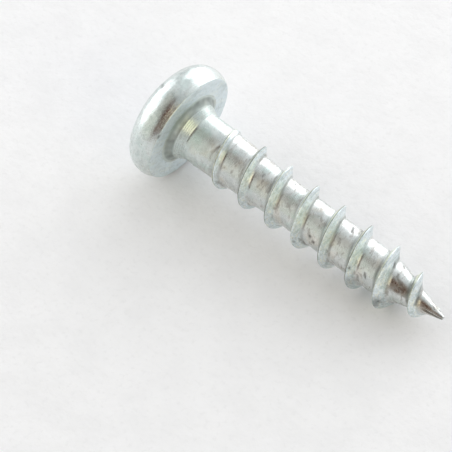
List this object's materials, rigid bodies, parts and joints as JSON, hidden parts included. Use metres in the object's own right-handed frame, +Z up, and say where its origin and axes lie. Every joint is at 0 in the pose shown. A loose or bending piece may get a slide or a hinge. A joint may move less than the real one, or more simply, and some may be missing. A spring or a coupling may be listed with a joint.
{
  "type": "chipboard screw",
  "caption": "Pan head chipboard screw with a type Z cross recess, a coarse single start thread and a sharp point, in zinc plated steel.",
  "frame": {"origin": "On the table that the screw lies on, under the middle of its bounding box.", "axes": "+Z is up. The screw lies along X with its head at -X and its point at +X, and its axis tips 6.9 degrees down towards the point, because it rests on the rim of its head and on a turn of its thread near the point."},
  "size_m": [0.0346, 0.0118, 0.0119],
  "materials": {
    "zinc_plated_steel": "bright zinc plating with a clear passivation, fine drawing and rolling marks"
  },
  "bodies": {
    "root": {"screw": "zinc_plated_steel"}
  },
  "joints": []
}
